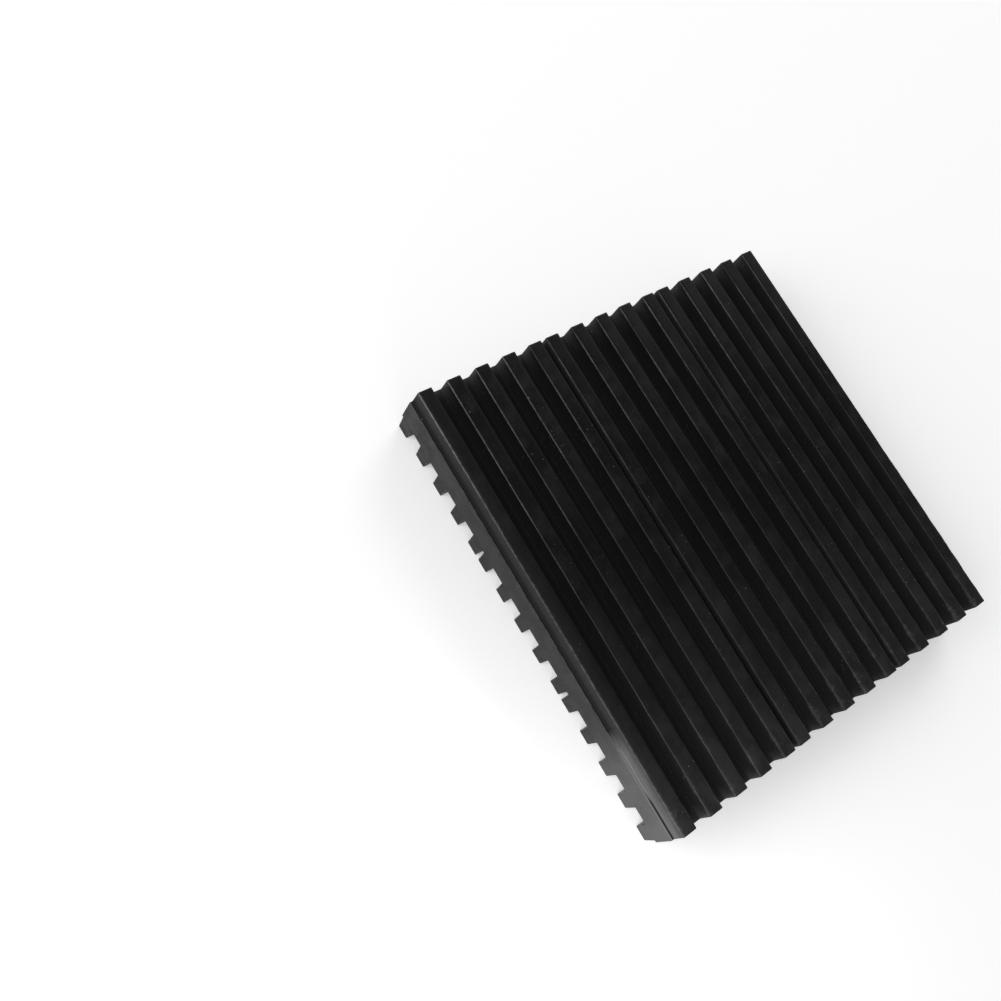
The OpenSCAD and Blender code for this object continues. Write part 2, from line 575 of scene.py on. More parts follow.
ripple_along = maths(ribs, "DIVIDE", along, RIPPLE_LENGTH)
ripple_place = vector(ribs, ripple_along, rib_seed, product(ribs, rib_side, RIPPLE_LAYER))
ripple = minus(ribs, noise(ribs, ripple_place), NOISE_MEAN)
at_crest = maths(ribs, "POWER", height_share, RIPPLE_RISE)
ripple_growth = ranged(ribs, along, RIPPLE_FROM, face_half, *RIPPLE_GROWTH)
ripple_side = ranged(ribs, rib_side, -1.0, 1.0, *RIPPLE_SIDES)
ripple = product(ribs, ripple, size["Ripple"], at_crest, ripple_growth, ripple_side)
wander = maths(ribs, "ADD", sway, ripple)
print(f"sway: waves of about {SWAY_LENGTH / MM:.0f} mm, ripple: {RIPPLE_LENGTH / MM:.0f} mm")

# %% [markdown]
# ### Cut and shaved edges
# The pad was sliced from a larger sheet. The outer row of the grid at each cut is drawn in by 0.2 mm, so
# that the edge catches the light as a real one does. Near one end the knife also shaved the outer wall of
# the first rib, and the finish paints a reflection there too. Six attributes stay on the mesh, so that the
# rubber finish can find all these places.

# %% Shaved wall
SHAVE_FADE = 8 * MM

first_rib = maths(ribs, "LESS_THAN", centre, minus(ribs, rib_and_slit, face_half))
outward = product(ribs, from_centre, -1.0)
outer_wall = ranged(ribs, outward, minus(ribs, crest_half, size["Crest Radius"]), crest_half)
shave_start = minus(ribs, face_half, size["Shaved Length"])
shaved_and_reflection = ranged(ribs, along, shave_start, maths(ribs, "ADD", shave_start, SHAVE_FADE))
shaved_and_reflection = product(ribs, shaved_and_reflection, outer_wall, first_rib)
print(f"shaved: {TOP_FACE['Shaved Length'] / MM:.0f} mm of the first top rib")

# %% Cut edges
CUT_ROW_SHARE = 0.35

last_column = minus(ribs, columns, 1.0)
column_from_end = maths(ribs, "MINIMUM", column, minus(ribs, last_column, column))
cut_row = maths(ribs, "LESS_THAN", row_from_end, HALF_STEP)
cut_column = maths(ribs, "LESS_THAN", column_from_end, HALF_STEP)
cut_edge = maths(ribs, "MAXIMUM", cut_column, product(ribs, cut_row, CUT_ROW_SHARE))
draw_in = product(ribs, cut_row, without(ribs, cut_column), size["Cut Chamfer"], -1.0)
facing = add_node(ribs, "GeometryNodeInputNormal").outputs[0]
drawing = {0: facing, "Scale": draw_in}
cut_offset = add_node(ribs, "ShaderNodeVectorMath", drawing, operation="SCALE").outputs[0]
moved_across = maths(ribs, "ADD", worn_across, wander)
worn_offset = vector(ribs, 0.0, moved_across, product(ribs, worn, -1.0))
adding = {0: worn_offset, 1: cut_offset}
offset = add_node(ribs, "ShaderNodeVectorMath", adding, operation="ADD").outputs[0]
sheet = add_node(ribs, "GeometryNodeSetPosition", {"Geometry": sheet, "Offset": offset}).outputs[0]

for name, kind, value in (
    ("rib_run", "FLOAT_VECTOR", on_section),
    ("edge_distance", "FLOAT", edge_distance),
    ("crest_right_edge", "FLOAT", crest_right_edge),
    ("crest_wear", "FLOAT", wear),
    ("shaved_and_reflection", "FLOAT", shaved_and_reflection),
    ("cut_edge", "FLOAT", cut_edge),
):
    kept = {"Geometry": sheet, "Name": name, "Value": value}
    kept = add_node(ribs, "GeometryNodeStoreNamedAttribute", kept, data_type=kind, domain="POINT")
    sheet = kept.outputs[0]
plug(ribs, sheet, face_out["Geometry"])
print("ribbed face:", len(ribs.nodes), "nodes")

# %% [markdown]
# ## Both faces
# The pad's tree uses that group twice: once for the top, with ribs along X, and once for the underside,
# turned over and by a quarter turn, so its ribs run along Y. The tree ends in Realize Instances and Set
# Material, so what comes out is one real mesh with its finish.

# %% Pad tree
pad_inputs = {"Top Face Level": "Float", "Bottom Face Level": "Float", "Rubber": "Material"}
pad_tree, pad_in, pad_out = new_group("Ribbed pad", "GeometryNodeTree", pad_inputs, GEOMETRY_OUT)
pad_tree.is_modifier = True
both_faces = add_node(pad_tree, "GeometryNodeJoinGeometry")
for face_sizes, level, turn in (
    (BOTTOM_FACE, pad_in["Bottom Face Level"], (math.pi, 0, math.pi / 2)),
    (TOP_FACE, pad_in["Top Face Level"], (0, 0, 0)),
):
    one_face = add_node(pad_tree, "GeometryNodeGroup", {**BOTH_FACES, **face_sizes}, node_tree=ribs)
    lifted = vector(pad_tree, 0.0, 0.0, level)
    placing = {"Geometry": one_face.outputs[0], "Translation": lifted, "Rotation": turn}
    placed = add_node(pad_tree, "GeometryNodeTransform", placing)
    pad_tree.links.new(placed.outputs[0], both_faces.inputs[0])
smooth = add_node(pad_tree, "GeometryNodeSetShadeSmooth", {"Geometry": both_faces.outputs[0]})
real = add_node(pad_tree, "GeometryNodeRealizeInstances", {"Geometry": smooth.outputs[0]})
coating = {"Geometry": real.outputs[0], "Material": pad_in["Rubber"]}
finished = add_node(pad_tree, "GeometryNodeSetMaterial", coating)
plug(pad_tree, finished.outputs[0], pad_out["Geometry"])
print("pad tree:", len(pad_tree.nodes), "nodes")

# %% [markdown]
# ## What the rubber finishes share
# Moulded and cut rubber are the same stuff, so three effects serve both. Each is a shader node group with
# its own sizes as inputs: a fine grain with a slow mottle, long streaks that follow a direction, and
# sparse specks of pale dust.

# %% Grain and mottle
grain_tree, taken, given = new_group(
    "Rubber grain",
    "ShaderNodeTree",
    {"Vector": "Vector", "Grain Size": "Float", "Mottle Size": "Float"},
    {"Grain": "Float", "Mottle": "Float"},
)
grain_scale = maths(grain_tree, "DIVIDE", 1.0, taken["Grain Size"])
mottle_scale = maths(grain_tree, "DIVIDE", 1.0, taken["Mottle Size"])
grain = noise(grain_tree, taken["Vector"], grain_scale, detail=3.0, roughness=0.6)
plug(grain_tree, grain, given["Grain"])
mottle = noise(grain_tree, taken["Vector"], mottle_scale, detail=4.0, roughness=0.6)
plug(grain_tree, ranged(grain_tree, mottle, *MIDDLE), given["Mottle"])
print("group:", grain_tree.name)

# %% Streaks
STREAK_SPAN = (0.35, 0.68)

streak_tree, taken, given = new_group(
    "Lengthwise streaks",
    "ShaderNodeTree",
    {"Vector": "Vector", "Length": "Float", "Width": "Float"},
    {"Streaks": "Float"},
)
run = split(streak_tree, taken["Vector"])
stretched = vector(
    streak_tree,
    maths(streak_tree, "DIVIDE", run["X"], taken["Length"]),
    maths(streak_tree, "DIVIDE", run["Y"], taken["Width"]),
    maths(streak_tree, "DIVIDE", run["Z"], taken["Width"]),
)
streaks = noise(streak_tree, stretched, detail=3.0, roughness=0.6)
plug(streak_tree, ranged(streak_tree, streaks, *STREAK_SPAN), given["Streaks"])
print("group:", streak_tree.name)

# %% Dust
SMALLEST_SPECK = 0.4
SPECK_SPREAD = 0.8
SPECK_CORE = 0.6

dust_tree, taken, given = new_group(
    "Dust specks",
    "ShaderNodeTree",
    {"Vector": "Vector", "Spacing": "Float", "Size": "Float", "Share": "Float"},
    {"Specks": "Float"},
)
cell_scale = maths(dust_tree, "DIVIDE", 1.0, taken["Spacing"])
cells = add_node(dust_tree, "ShaderNodeTexVoronoi", {"Vector": taken["Vector"], "Scale": cell_scale}).outputs
chance = add_node(dust_tree, "ShaderNodeSeparateColor", {0: cells["Color"]}).outputs
present = maths(dust_tree, "LESS_THAN", chance[0], taken["Share"])
speck_size = maths(dust_tree, "MULTIPLY_ADD", chance[1], SPECK_SPREAD, SMALLEST_SPECK)
speck_size = product(dust_tree, taken["Size"], speck_size)
speck_reach = maths(dust_tree, "DIVIDE", speck_size, taken["Spacing"])
speck_core = product(dust_tree, speck_reach, SPECK_CORE)
speck = ranged(dust_tree, cells["Distance"], speck_core, speck_reach, 1.0, 0.0)
plug(dust_tree, product(dust_tree, speck, present), given["Specks"])
print("group:", dust_tree.name)

# %% [markdown]
# ## Moulded rubber
# The ribs came out of a mould: satin black, with faint streaks along the ribs where the rubber flowed and
# was wiped. From afar one dark Principled shader would do. Close up, what makes it rubber is what has
# happened to it since, so the finish is built in layers, each a grey laid over the last one by a mask, and
# some layers are painted light and shade. The masks read the attributes that the ribbed face left on the
# mesh: the place on the rib, the distance from the crest corner, and the wear.

# %% Finish helpers
BLUE_TRACE = 1.02


def new_finish(name, specular):
    """A material with a Principled BSDF. Returns the material, its tree and the shader's inputs."""
    made = bpy.data.materials.new(name)
    made.use_nodes = True
    inputs = made.node_tree.nodes["Principled BSDF"].inputs
    inputs["Specular IOR Level"].default_value = specular
    return made, made.node_tree, inputs


def grey(level):
    """A grey with a trace of blue, as black rubber has."""
    return (level, level, level * BLUE_TRACE, 1)


def attribute(tree, name, output="Fac"):
    """What an attribute of the mesh says at this point."""
    return add_node(tree, "ShaderNodeAttribute", attribute_name=name).outputs[output]


def effect(tree, group, **inputs):
    """One of the shared groups, placed in a material with its own values."""
    named = {key.replace("_", " "): value for key, value in inputs.items()}
    return add_node(tree, "ShaderNodeGroup", named, node_tree=group).outputs


print("helpers: new_finish, grey, attribute, effect")

# %% What the masks read
MOULDED_SPECULAR = 0.13
RAGGED_SIZE = 1.4 * MM
FAR_END = -pad_half
NEAR_END = pad_half
LEFT_SIDE = -pad_half
RIGHT_SIDE = pad_half

moulded, skin, shader = new_finish("moulded rubber", MOULDED_SPECULAR)
here = add_node(skin, "ShaderNodeTexCoord").outputs["Object"]
rib_run = attribute(skin, "rib_run", "Vector")
run = split(skin, rib_run)
lengthwise = run["X"]
crosswise = run["Y"]
height = run["Z"]
corner_distance = attribute(skin, "edge_distance")
crest_wear = attribute(skin, "crest_wear")
crest_right_edge = attribute(skin, "crest_right_edge")
left_share = ranged(skin, crosswise, LEFT_SIDE, RIGHT_SIDE, 1.0, 0.0)
off_middle = maths(skin, "ABSOLUTE", crosswise)
texture = effect(skin, grain_tree, Vector=here, Grain_Size=0.16 * MM, Mottle_Size=9 * MM)
flow = effect(skin, streak_tree, Vector=rib_run, Length=38 * MM, Width=0.8 * MM)["Streaks"]
ragged = noise(skin, here, 1 / RAGGED_SIZE, detail=3.0, roughness=0.6)
print("what the masks read:", len(skin.nodes), "nodes so far")

# %% [markdown]
# ### Tops of the ribs
# Wiping leaves the tops a little uneven, handling and painted light make them greyer towards the near
# left corner, and scuffs lie in soft patches. The first rib is rubbed along its outer side. The tops are
# darker towards the far right, and the right edge of every crest is painted with shade.

# %% Wiped, handled with painted light, and scuffed
BLACK = grey(0.0035)
WIPED = grey(0.0085)
HANDLED_AND_LIT = grey(0.034)
SCUFFED = grey(0.022)
HANDLED_AND_LIT_FROM = -50 * MM
HANDLED_AND_LIT_POWER = 3.0
HANDLED_AND_LIT_SIDES = (0.5, 1.0)
HANDLED_AND_LIT_PATCHES = (0.6, 1.0)
SCUFF_SIZE = 8 * MM
SCUFF_SPAN = (0.48, 0.68)
SCUFF_SHARE = 0.38

wiped = product(skin, maths(skin, "ADD", texture["Mottle"], flow), 0.5)
colour = mixed(skin, wiped, BLACK, WIPED)
# Handling and painted light: the tops grow greyer towards the near left corner, as if lit from there.
handled_and_lit = product(
    skin,
    maths(skin, "POWER", ranged(skin, lengthwise, HANDLED_AND_LIT_FROM, NEAR_END), HANDLED_AND_LIT_POWER),
    ranged(skin, left_share, 0.0, 1.0, *HANDLED_AND_LIT_SIDES),
    ranged(skin, texture["Mottle"], *WIDE, *HANDLED_AND_LIT_PATCHES),
)
colour = mixed(skin, handled_and_lit, colour, HANDLED_AND_LIT)
scuffs = noise(skin, here, 1 / SCUFF_SIZE, detail=4.0, roughness=0.65)
scuffs = ranged(skin, scuffs, *SCUFF_SPAN)
colour = mixed(skin, product(skin, scuffs, SCUFF_SHARE), colour, SCUFFED)
print(f"scuffs: patches of about {SCUFF_SIZE / MM:.0f} mm")

# %% Rubbed, and painted shade on the right edges
DEEP_BLACK_AND_SHADE = grey(0.001)
FIRST_RIB_OUTER = LEFT_SIDE + 1.1 * MM
FIRST_RIB_INNER = LEFT_SIDE + 6.2 * MM
FIRST_GROOVE = LEFT_SIDE + 7 * MM
RUBBED_SHARE = (0.25, 0.5)
RUBBED_FADE = (20 * MM, 60 * MM)
RUBBED_STREAKS = (0.7, 1.3)
FAR_RIGHT_TO = -20 * MM
FAR_RIGHT_SHARE = 0.7
FAR_RIGHT_SIDES = (0.7, 0.1)
RIGHT_EDGE_SHADE_SHARE = (0.8, 0.25)

rubbed = product(
    skin,
    ranged(skin, crosswise, FIRST_RIB_INNER, FIRST_RIB_OUTER, *RUBBED_SHARE),
    ranged(skin, crosswise, FIRST_GROOVE, FIRST_RIB_INNER),
    ranged(skin, lengthwise, *RUBBED_FADE, 1.0, 0.0),
    ranged(skin, flow, 0.0, 1.0, *RUBBED_STREAKS),
)
colour = mixed(skin, rubbed, colour, SCUFFED)
# Darker towards the far right. Painted shade: the right edge of each crest, away from the light, is painted
# deep black.
far_right_darker = ranged(skin, lengthwise, FAR_END, FAR_RIGHT_TO, FAR_RIGHT_SHARE, 0.0)
far_right_darker = product(skin, far_right_darker, ranged(skin, left_share, *FAR_RIGHT_SIDES))
right_edge_shade = product(skin, crest_right_edge, ranged(skin, lengthwise, 0.0, NEAR_END, *RIGHT_EDGE_SHADE_SHARE))
colour = mixed(skin, maths(skin, "MAXIMUM", far_right_darker, right_edge_shade), colour, DEEP_BLACK_AND_SHADE)
print("tops of the ribs:", len(skin.nodes), "nodes so far")

# %% [markdown]
# ### Grooves, slits and ledges
# Dust settles where nothing wipes it away: at the roots of the ribs, at the near ends of the grooves, and in
# the slits. The far ends of the grooves and the depths of the slits are painted paler, as painted light.
# The narrow ledges outside the edge ribs are painted almost black, as shade. The height in the section tells
# a wall from a top, so no extra geometry is needed.

# %% Walls and grooves
WALL_BLACK = grey(0.0045)
GROOVE_DUST = grey(0.012)
ROOT_DUST = grey(0.028)
GROOVE_END = grey(0.06)
WALL_TOP = (0.1 * MM, 0.5 * MM)
GROOVE_TOP = (0.5 * MM, 3 * MM)
ROOT_RISE = (3 * MM, 0.2 * MM)
OUTER_STRIP = 4 * MM
FAR_END_LIGHT = 0.45
FAR_END_LIGHT_REACH = 9 * MM
NEAR_DUST = 0.55
NEAR_DUST_FROM = 10 * MM
NEAR_DUST_SIDES = (0.3, 1.0)
NEAR_DUST_DEPTH = (0.25, 1.0)
RIGHT_DUST = 0.3
RIGHT_DUST_FROM = 0.45


def sunk(start, end):
    """0 as far down from the crests as start, and 1 from end on."""
    return ranged(skin, height, TOP_RIB_H - start, TOP_RIB_H - end)


outermost = maths(skin, "GREATER_THAN", off_middle, pad_half - OUTER_STRIP)
inner = without(skin, outermost)
in_groove = product(skin, inner, sunk(*GROOVE_TOP))
at_floor = product(skin, inner, ranged(skin, height, *ROOT_RISE))
# Painted light: the far ends of the grooves are painted paler, as light from past the far end reaches into
# them.
far_end_light = ranged(skin, lengthwise, FAR_END, FAR_END + FAR_END_LIGHT_REACH, FAR_END_LIGHT, 0.0)
near_dust = product(
    skin,
    ranged(skin, lengthwise, NEAR_DUST_FROM, NEAR_END, 0.0, NEAR_DUST),
    ranged(skin, left_share, 0.0, 1.0, *NEAR_DUST_SIDES),
    ranged(skin, height, TOP_RIB_H, 0.0, *NEAR_DUST_DEPTH),
    inner,
)
dust_and_far_light = maths(skin, "ADD", product(skin, in_groove, far_end_light), near_dust)
right_dust = ranged(skin, left_share, RIGHT_DUST_FROM, 0.0, 0.0, RIGHT_DUST)
wall = mixed(skin, in_groove, WALL_BLACK, GROOVE_DUST)
for mask, layer in ((at_floor, ROOT_DUST), (right_dust, ROOT_DUST), (dust_and_far_light, GROOVE_END)):
    wall = mixed(skin, mask, wall, layer)
colour = mixed(skin, sunk(*WALL_TOP), colour, wall)
print("walls and grooves:", len(skin.nodes), "nodes so far")

# %% Slits and ledges
SLIT_DUST = grey(0.021)
SLIT_DEPTH_LIGHT = grey(0.065)
LEDGE_SHADE = grey(0.009)
SLIT_TOP = (0.1 * MM, 0.8 * MM)
SLIT_FADE = (1.2 * MM, 4 * MM)
SLIT_REACH = 1.6 * MM
LEDGE_RISE = (0.8 * MM, 0.2 * MM)

slit_middle = pad_len / BLOCKS / 2
from_slit = maths(skin, "ABSOLUTE", minus(skin, off_middle, slit_middle))
in_slit = product(skin, sunk(*SLIT_TOP), maths(skin, "LESS_THAN", from_slit, SLIT_REACH))
# Dust in the slits, and painted light: their depths are painted paler against their shade.
colour = mixed(skin, in_slit, colour, mixed(skin, sunk(*SLIT_FADE), SLIT_DUST, SLIT_DEPTH_LIGHT))
# Painted shade: the narrow ledges outside the edge ribs are painted almost black.
on_ledge = product(skin, outermost, ranged(skin, height, *LEDGE_RISE))
colour = mixed(skin, on_ledge, colour, LEDGE_SHADE)
print(f"slits: {slit_middle / MM:.1f} mm to each side of the middle")

# %% [markdown]
# ### Pale wear and painted highlights
# Rubber goes pale where it is bent and rubbed, first of all along the crest edges. A painted highlight, a
# fine broken line, follows the left edge of every crest, where it catches the light, strongest at the far
# end and different from rib to rib. Towards the near end the pale wear widens it into a chipped band. The
# two outermost edges of the pad have the strongest painted highlight.

# %% Painted highlight along the crests
PALE_WEAR_AND_HIGHLIGHT = grey(0.12)
EDGE_ROUND = 0.1 * MM
LEAST_LINE = 0.2 * MM
LINE_SPREAD = 0.5 * MM
LINE_RAGGED = (0.5, 1.0)
FAR_LINE = (0.7, 0.12)
FAR_LINE_TO = -10 * MM
LEFT_PART = (0.6, 1.0)
FAR_LINE_SIDES = (0.9, 1.6)
NEAR_LINE = 0.05
NEAR_LINE_FROM = 20 * MM
PATCH_LENGTH = 16 * MM
PATCH_WIDTH = 6 * MM
PATCH_SHARE = (0.35, 1.6)

# Painted highlight: a broken line on the left edge of each crest, where it catches the light, strongest at
# the far end.
line_width = maths(skin, "MULTIPLY_ADD", ragged, LINE_SPREAD, LEAST_LINE)
crest_highlight = product(
    skin,
    ranged(skin, corner_distance, EDGE_ROUND, line_width, 1.0, 0.0),
    ranged(skin, ragged, *WIDE, *LINE_RAGGED),
    without(skin, crest_right_edge),
)
far_highlight = ranged(skin, lengthwise, FAR_END, FAR_LINE_TO, *FAR_LINE)
far_highlight = product(skin, far_highlight, ranged(skin, left_share, *LEFT_PART, *FAR_LINE_SIDES))
near_highlight = ranged(skin, lengthwise, NEAR_LINE_FROM, NEAR_END, 0.0, NEAR_LINE)
near_highlight = product(skin, near_highlight, left_share)
patch_along = maths(skin, "DIVIDE", lengthwise, PATCH_LENGTH)
patch_across = maths(skin, "DIVIDE", crosswise, PATCH_WIDTH)
patches = noise(skin, vector(skin, patch_along, patch_across, 0.0))
patches = ranged(skin, patches, *MIDDLE, *PATCH_SHARE)
highlight_strength = product(skin, maths(skin, "ADD", far_highlight, near_highlight), patches)
highlight_line = product(skin, crest_highlight, highlight_strength)
print(f"pale line: {LEAST_LINE / MM:.1f} mm or wider")

# %% Worn band
BAND_WIDTH = 4 * MM
LEAST_BAND = 0.01 * MM
BAND_CORE = 0.4
BAND_SHARE = 0.5
CHIP_SIZE = 0.9 * MM
CHIP_SPAN = (0.46, 0.6)
CHIP_SHARE = (0.3, 1.0)

band_width = product(skin, crest_wear, product(skin, ragged, BAND_WIDTH))
band_core = product(skin, band_width, BAND_CORE)
band_end = maths(skin, "ADD", band_width, LEAST_BAND)
chips = noise(skin, here, 1 / CHIP_SIZE, detail=3.0, roughness=0.7)
chips = ranged(skin, chips, *CHIP_SPAN, *CHIP_SHARE)
worn_band = ranged(skin, corner_distance, band_core, band_end, 1.0, 0.0)
worn_band = product(skin, worn_band, product(skin, crest_wear, chips), BAND_SHARE)
# The pale wear and the painted highlight share this grey.
colour = mixed(skin, maths(skin, "MAXIMUM", highlight_line, worn_band), colour, PALE_WEAR_AND_HIGHLIGHT)
print(f"worn band: chips of about {CHIP_SIZE / MM:.1f} mm")

# %% Painted highlight on the outermost edges
RIM_HIGHLIGHT = grey(0.15)
RIM_STRIP = 3 * MM
RIM_LINE = (0.8, 0.3)
RIM_LINE_TO = 10 * MM
RIM_LINE_RAGGED = (0.6, 1.0)
RIM_BAND = 0.24
RIM_BAND_REACH = 0.9 * MM
RIM_BAND_RAGGED = (0.2, 1.2)

# Painted highlight: the outermost crest edges, open to the light, get the brightest line and a band beside
# it.
on_rim = maths(skin, "GREATER_THAN", off_middle, pad_half - RIM_STRIP)
rim_strength = ranged(skin, lengthwise, FAR_END, RIM_LINE_TO, *RIM_LINE)
rim_strength = product(skin, rim_strength, ranged(skin, ragged, *NARROW, *RIM_LINE_RAGGED))
rim_highlight = product(skin, crest_highlight, on_rim, rim_strength)
rim_highlight_band = product(
    skin,
    ranged(skin, corner_distance, EDGE_ROUND, RIM_BAND_REACH, RIM_BAND, 0.0),
    ranged(skin, ragged, *MIDDLE, *RIM_BAND_RAGGED),
    on_rim,
)
colour = mixed(skin, maths(skin, "MAXIMUM", rim_highlight, rim_highlight_band), colour, RIM_HIGHLIGHT)
print("pale edges:", len(skin.nodes), "nodes so far")

# %% [markdown]
# ### The knife's marks
# Where the knife shaved the first rib's outer wall, fine scores run along it, and a painted reflection makes
# it paler, most near its foot. The ledge below is paler still with the same painted reflection, up to
# painted shade at a crease near its end. The edges of the cuts carry a thin, broken painted highlight.

# %% Shaved wall with painted reflection, and painted highlight on the cut edges
SHAVED_AND_REFLECTION = grey(0.11)
SHAVED_LEDGE_AND_REFLECTION = grey(0.16)
CUT_EDGE_HIGHLIGHT = grey(0.2)
CREASE_FROM = (60 * MM, 64 * MM)
CREASE_INSET = (0.3 * MM, 0.5 * MM)
SCORE_SHARE = (0.5, 1.0)
SHAVED_FOOT = 2 * MM
SHAVED_RISE = (0.15, 1.0)
CUT_EDGE_FULL = 0.6
CUT_EDGE_RAGGED = (0.1, 1.0)
CUT_EDGE_INSET = (0.3 * MM, 1.5 * MM)
CUT_EDGE_SHARE = (1.2, 0.3)

# Painted shade: near its end the ledge keeps its dark paint, as shade in a crease.
crease_shade = product(
    skin,
    on_ledge,
    ranged(skin, lengthwise, *CREASE_FROM),
    ranged(skin, off_middle, *(pad_half - inset for inset in CREASE_INSET)),
)
scored = effect(skin, streak_tree, Vector=rib_run, Length=12 * MM, Width=0.35 * MM)["Streaks"]
# Painted reflection: the shaved wall and its ledge are painted paler, most near the foot, with real scores
# along the wall.
shaved_and_reflection = product(
    skin,
    attribute(skin, "shaved_and_reflection"),
    without(skin, crease_shade),
    ranged(skin, scored, 0.0, 1.0, *SCORE_SHARE),
    ranged(skin, height, TOP_RIB_H, SHAVED_FOOT, *SHAVED_RISE),
)
colour = mixed(skin, shaved_and_reflection, colour, SHAVED_AND_REFLECTION)
colour = mixed(skin, product(skin, shaved_and_reflection, on_ledge), colour, SHAVED_LEDGE_AND_REFLECTION)
# Painted highlight: a thin broken pale line on the edges of the cuts, strongest at the far end.
cut_edge = product(
    skin,
    ranged(skin, attribute(skin, "cut_edge"), 0.0, CUT_EDGE_FULL),
    ranged(skin, ragged, *NARROW, *CUT_EDGE_RAGGED),
    ranged(skin, lengthwise, *(FAR_END + inset for inset in CUT_EDGE_INSET), *CUT_EDGE_SHARE),
)
colour = mixed(skin, cut_edge, colour, CUT_EDGE_HIGHLIGHT)
print("knife marks:", len(skin.nodes), "nodes so far")

# %% [markdown]
# ### Dust, gloss and relief
# Specks of dust come last, because they lie on everything. Roughness then rises wherever the skin is no
# longer smooth: on mottled, scuffed and shaved rubber, at the roots and on sheltered edges. A slight bump
# from the grain, the flow and the dust breaks up the highlights.

# %% Dust on the ribs
DUST = (0.3, 0.295, 0.28, 1)
DUSTY_SIZE = 14 * MM
DUSTY_SPAN = (0.52, 0.62)
DUSTY_SHARE = (0.04, 0.6)

dust = effect(skin, dust_tree, Vector=here, Spacing=1.4 * MM, Size=0.18 * MM, Share=0.6)["Specks"]
dusty = ranged(skin, noise(skin, here, 1 / DUSTY_SIZE, detail=3.0), *DUSTY_SPAN, *DUSTY_SHARE)
dust = product(skin, dust, dusty)
colour = mixed(skin, dust, colour, DUST)
plug(skin, colour, shader["Base Color"])
print(f"dust: patches of about {DUSTY_SIZE / MM:.0f} mm")

# %% Gloss and relief of the moulded rubber
PLAIN_ROUGHNESS = 0.2
MOTTLE_ROUGHNESS = 0.08
SCUFF_ROUGHNESS = 0.08
GRAIN_ROUGHNESS = 0.1
ROOT_ROUGHNESS = 0.3
LEE_ROUGHNESS = 0.15
SHAVED_ROUGHNESS = 0.25
ROOT_BAND = (3 * MM, 5 * MM)
FLOW_RELIEF = 0.12
GRAIN_RELIEF = 0.5

roughness = PLAIN_ROUGHNESS
for mask, rougher in (
    (texture["Mottle"], MOTTLE_ROUGHNESS),
    (scuffs, SCUFF_ROUGHNESS),
    (texture["Grain"], GRAIN_ROUGHNESS),
    (ranged(skin, corner_distance, *ROOT_BAND), ROOT_ROUGHNESS),
    (crest_right_edge, LEE_ROUGHNESS),
    (shaved_and_reflection, SHAVED_ROUGHNESS),
):
    roughness = maths(skin, "MULTIPLY_ADD", mask, rougher, roughness)
plug(skin, roughness, shader["Roughness"])
relief = product(skin, texture["Grain"], GRAIN_RELIEF)
relief = maths(skin, "MULTIPLY_ADD", flow, FLOW_RELIEF, relief)
relief = maths(skin, "ADD", relief, dust)
bump = add_node(skin, "ShaderNodeBump", {"Strength": 0.5, "Distance": 0.03 * MM, "Height": relief})
plug(skin, bump.outputs[0], shader["Normal"])
print("finish:", moulded.name, len(skin.nodes), "nodes")

# %% [markdown]
# ## Cut rubber
# The four sides were sliced from a bigger sheet. A cut shows the inside of the rubber, which is greyer and
# duller than the skin, with faint drag lines along the cut and crumbs of dust. The side is painted with
# shade near its middle, and paler with painted light at the near left corner. A second finish suits this
# better than one more mask, because the sides are faces of their own.

# %% Greys of the cut
CUT_SPECULAR = 0.25
CUT_GREY = grey(0.006)
CUT_PALE = grey(0.056)
DRAG_SPACING = 0.9 * MM
MOTTLE_SHARE = 0.3
DRAG_SHARE = 0.3
GRAIN_SHARE = 0.4
SHADE_MIDDLE = 8 * MM
SHADE_REACH = (35 * MM, 84 * MM)
SHADE_SHARE = (0.45, 0.85)

cut, core, shader = new_finish("cut rubber", CUT_SPECULAR)
here = add_node(core, "ShaderNodeTexCoord").outputs["Object"]
spot = split(core, here)
texture = effect(core, grain_tree, Vector=here, Grain_Size=0.9 * MM, Mottle_Size=7 * MM)
drag = noise(core, vector(core, 0.0, 0.0, spot["Z"]), 1 / DRAG_SPACING, detail=3.0, roughness=0.7)
paler = 0.0
for pattern, span, share in (
    (texture["Mottle"], WIDE, MOTTLE_SHARE),
    (drag, MIDDLE, DRAG_SHARE),
    (texture["Grain"], MIDDLE, GRAIN_SHARE),
):
    paler = maths(core, "MULTIPLY_ADD", ranged(core, pattern, *span), share, paler)
# Painted shade: the cut side is painted darker around its middle.
from_shade = maths(core, "ABSOLUTE", minus(core, spot["X"], SHADE_MIDDLE))
paler = product(core, paler, ranged(core, from_shade, *SHADE_REACH, *SHADE_SHARE))
colour = mixed(core, paler, CUT_GREY, CUT_PALE)
print(f"cut rubber: drag lines {DRAG_SPACING / MM:.1f} mm apart")

# %% Painted light at the near left corner, dust and relief of the cut
CORNER_LIGHT = grey(0.078)
CORNER_LIGHT_FROM = pad_len * 0.73
CORNER_LIGHT_TO = pad_len * 0.87
CORNER_LIGHT_SPAN = (0.2, 0.8)
CORNER_LIGHT_SHARE = (0.6, 1.0)
CRUMB_SHARE = 0.5
CUT_ROUGHNESS = 0.55
CUT_GRAIN_ROUGHNESS = 0.2
DRAG_RELIEF = 0.5

